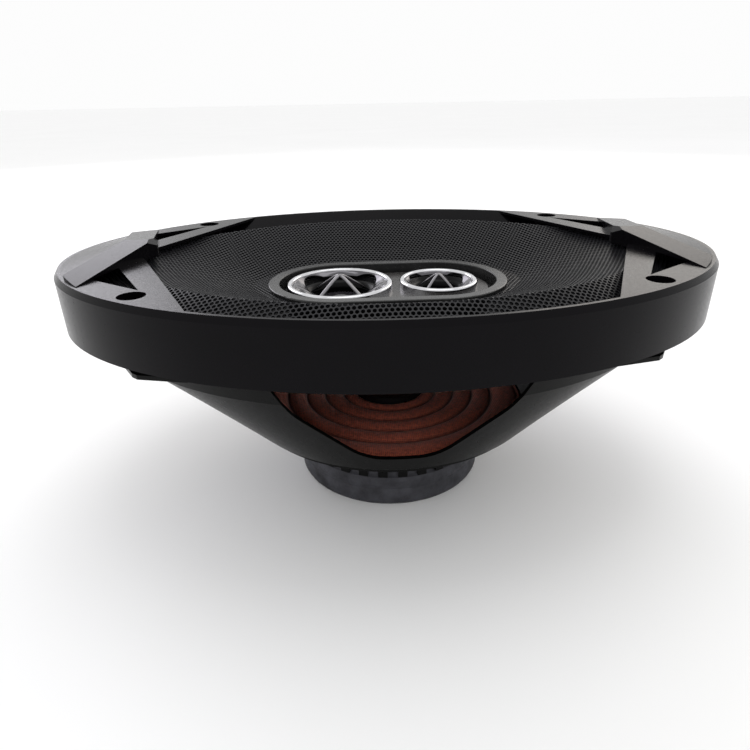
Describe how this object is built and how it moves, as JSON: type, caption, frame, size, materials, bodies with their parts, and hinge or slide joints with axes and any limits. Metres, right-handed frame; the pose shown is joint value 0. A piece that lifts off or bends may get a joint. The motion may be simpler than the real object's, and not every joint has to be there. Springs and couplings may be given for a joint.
{
  "type": "coaxial car speaker",
  "caption": "Oval car loudspeaker: deep grille ring with raised end struts, perforated mesh, coaxial tweeter pod, windowed steel basket, cloth spider and booted magnet below.",
  "frame": {"origin": "centre of the magnet boot's underside, on which the speaker stands", "axes": "+Z is the driving direction, out through the grille; +X is the long axis of the oval; +Y points to the side with the terminals"},
  "size_m": [0.248, 0.172, 0.1012],
  "materials": {
    "grille_plastic": "satin moulded black",
    "mesh_metal": "satin black powder coat",
    "basket_steel": "semi-gloss black paint",
    "foam": "closed-cell foam",
    "surround_rubber": "smooth matt",
    "cone_paper": "moulded, satin",
    "spider_cloth": "woven, resin-treated",
    "felt": "felt",
    "former_foil": "satin foil",
    "copper_wire": "enamelled wire",
    "plated_steel": "zinc plated",
    "ferrite": "ground ceramic magnet",
    "boot_rubber": "matt, slightly mottled",
    "bright_chrome": "polished plating",
    "silver_plastic": "metallised plastic, satin",
    "black_plastic": "moulded",
    "dome_film": "thin film",
    "capacitor_sleeve": "shrink sleeve",
    "board_laminate": "phenolic sheet",
    "terminal_brass": "tin-plated brass",
    "tinsel_braid": "woven copper braid"
  },
  "bodies": {
    "root": {"basket": "basket_steel", "crossover_capacitors": "capacitor_sleeve", "gasket_strips": "foam", "grille_frame": "grille_plastic", "grille_mesh": "mesh_metal", "grille_trim_ring": "grille_plastic", "large_tweeter_bezel": "bright_chrome", "large_tweeter_cup": "plated_steel", "large_tweeter_diffuser": "silver_plastic", "large_tweeter_dome_edge": "dome_film", "large_tweeter_frame": "black_plastic", "large_tweeter_magnet": "ferrite", "large_tweeter_pole_plate": "plated_steel", "large_tweeter_waveguide": "silver_plastic", "magnet": "ferrite", "magnet_boot": "boot_rubber", "motor_rivets": "plated_steel", "pod_deck": "grille_plastic", "pod_housing": "grille_plastic", "post_nut": "plated_steel", "small_tweeter_bezel": "bright_chrome", "small_tweeter_cup": "plated_steel", "small_tweeter_diffuser": "silver_plastic", "small_tweeter_dome_edge": "dome_film", "small_tweeter_frame": "black_plastic", "small_tweeter_magnet": "ferrite", "small_tweeter_pole_plate": "plated_steel", "small_tweeter_waveguide": "silver_plastic", "spider": "spider_cloth", "surround": "surround_rubber", "t_yoke": "plated_steel", "terminal_board": "board_laminate", "terminal_negative": "terminal_brass", "terminal_positive": "terminal_brass", "terminal_rivets": "plated_steel", "tinsel_lead_negative": "tinsel_braid", "tinsel_lead_positive": "tinsel_braid", "top_plate": "plated_steel", "tweeter_post": "plated_steel"},
    "woofer_moving": {"cone": "cone_paper", "voice_coil_former": "former_foil", "voice_coil_winding": "copper_wire", "dust_ring": "felt"},
    "large_dome_moving": {"large_tweeter_dome": "dome_film", "large_tweeter_coil": "copper_wire"},
    "small_dome_moving": {"small_tweeter_dome": "dome_film", "small_tweeter_coil": "copper_wire"}
  },
  "joints": [
    {"name": "woofer_stroke", "type": "slide", "parent": "root", "child": "woofer_moving", "axis": [0, 0, 1], "range_m": [-0.0035, 0.0035], "stiffness_N_per_m": 2500, "deforming": ["surround", "spider", "tinsel_lead_positive", "tinsel_lead_negative"]},
    {"name": "large_tweeter_stroke", "type": "slide", "parent": "root", "child": "large_dome_moving", "axis": [0, 0, 1], "range_m": [-0.0005, 0.0005], "stiffness_N_per_m": 1200},
    {"name": "small_tweeter_stroke", "type": "slide", "parent": "root", "child": "small_dome_moving", "axis": [0, 0, 1], "range_m": [-0.0003, 0.0003], "stiffness_N_per_m": 1200}
  ]
}
